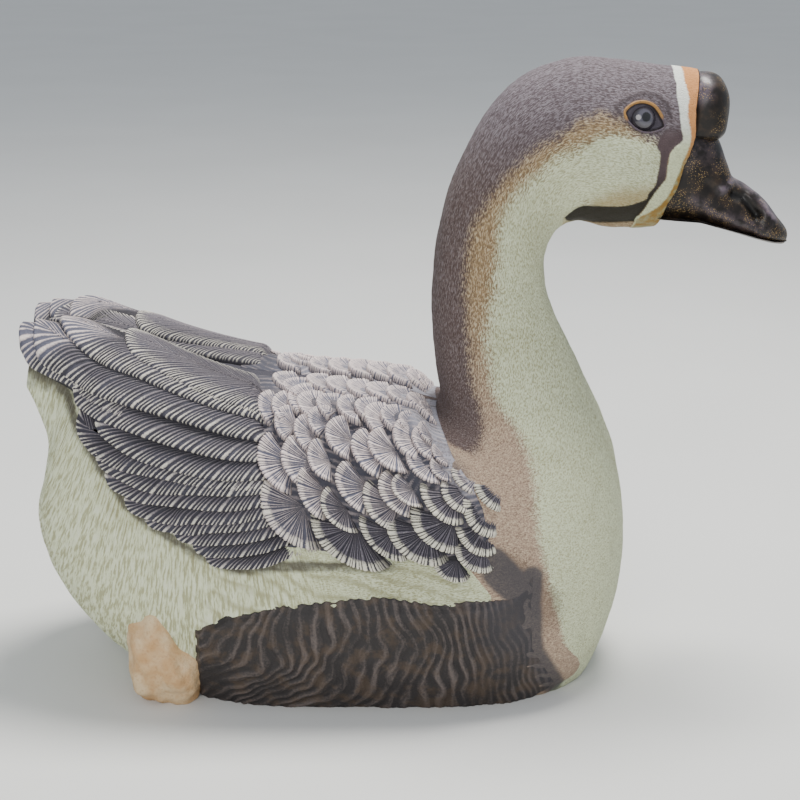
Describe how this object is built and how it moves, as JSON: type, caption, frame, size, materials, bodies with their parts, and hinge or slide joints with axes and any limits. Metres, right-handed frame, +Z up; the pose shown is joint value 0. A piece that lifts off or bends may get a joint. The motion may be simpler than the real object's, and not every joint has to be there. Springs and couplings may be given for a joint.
{
  "type": "ceramic goose statue",
  "caption": "Life-size stoneware garden goose of the knob-billed kind, resting on its flat belly with neck raised, scalloped wing feathers and glazed bill.",
  "frame": {"origin": "on the flat underside near its middle, where the statue meets the surface it rests on", "axes": "+Z up, +X from the tail towards the bill, +Y to the goose's own left"},
  "size_m": [0.5921, 0.2476, 0.4896],
  "materials": {
    "crown_wash": "matte fired clay, incised strokes, dusky mauve-brown oxide wash",
    "neck_wash": "matte fired clay, incised strokes, brown wash behind and cream in front",
    "breast_wash": "matte fired clay, stippled cream with a brown wash at the side",
    "body_cream": "matte fired clay, cream with fine flowing strokes",
    "covert_slate": "matte fired clay, slate wash in the grooves and pale pinkish ridges",
    "quill_slate": "matte fired clay, slate wash in the grooves and pale barbs",
    "flank_umber": "matte fired clay, dark umber wash over wavy ridges",
    "foot_ochre": "matte fired clay, mottled orange-tan wash",
    "bill_glaze": "glossy dark brown glaze with fine golden specks",
    "eye_glaze": "glossy glaze, grey-blue iris and black pupil"
  },
  "bodies": {
    "root": {"head": "crown_wash", "neck": "neck_wash", "breast": "breast_wash", "trunk": "body_cream", "tail": "body_cream", "bill_upper": "bill_glaze", "bill_lower": "bill_glaze", "bill_knob": "bill_glaze", "eye_right": "eye_glaze", "eye_left": "eye_glaze", "wing_right_coverts": "covert_slate", "wing_left_coverts": "covert_slate", "wing_right_quills": "quill_slate", "wing_left_quills": "quill_slate", "flank_right": "flank_umber", "flank_left": "flank_umber", "foot_right": "foot_ochre", "foot_left": "foot_ochre"}
  },
  "joints": []
}
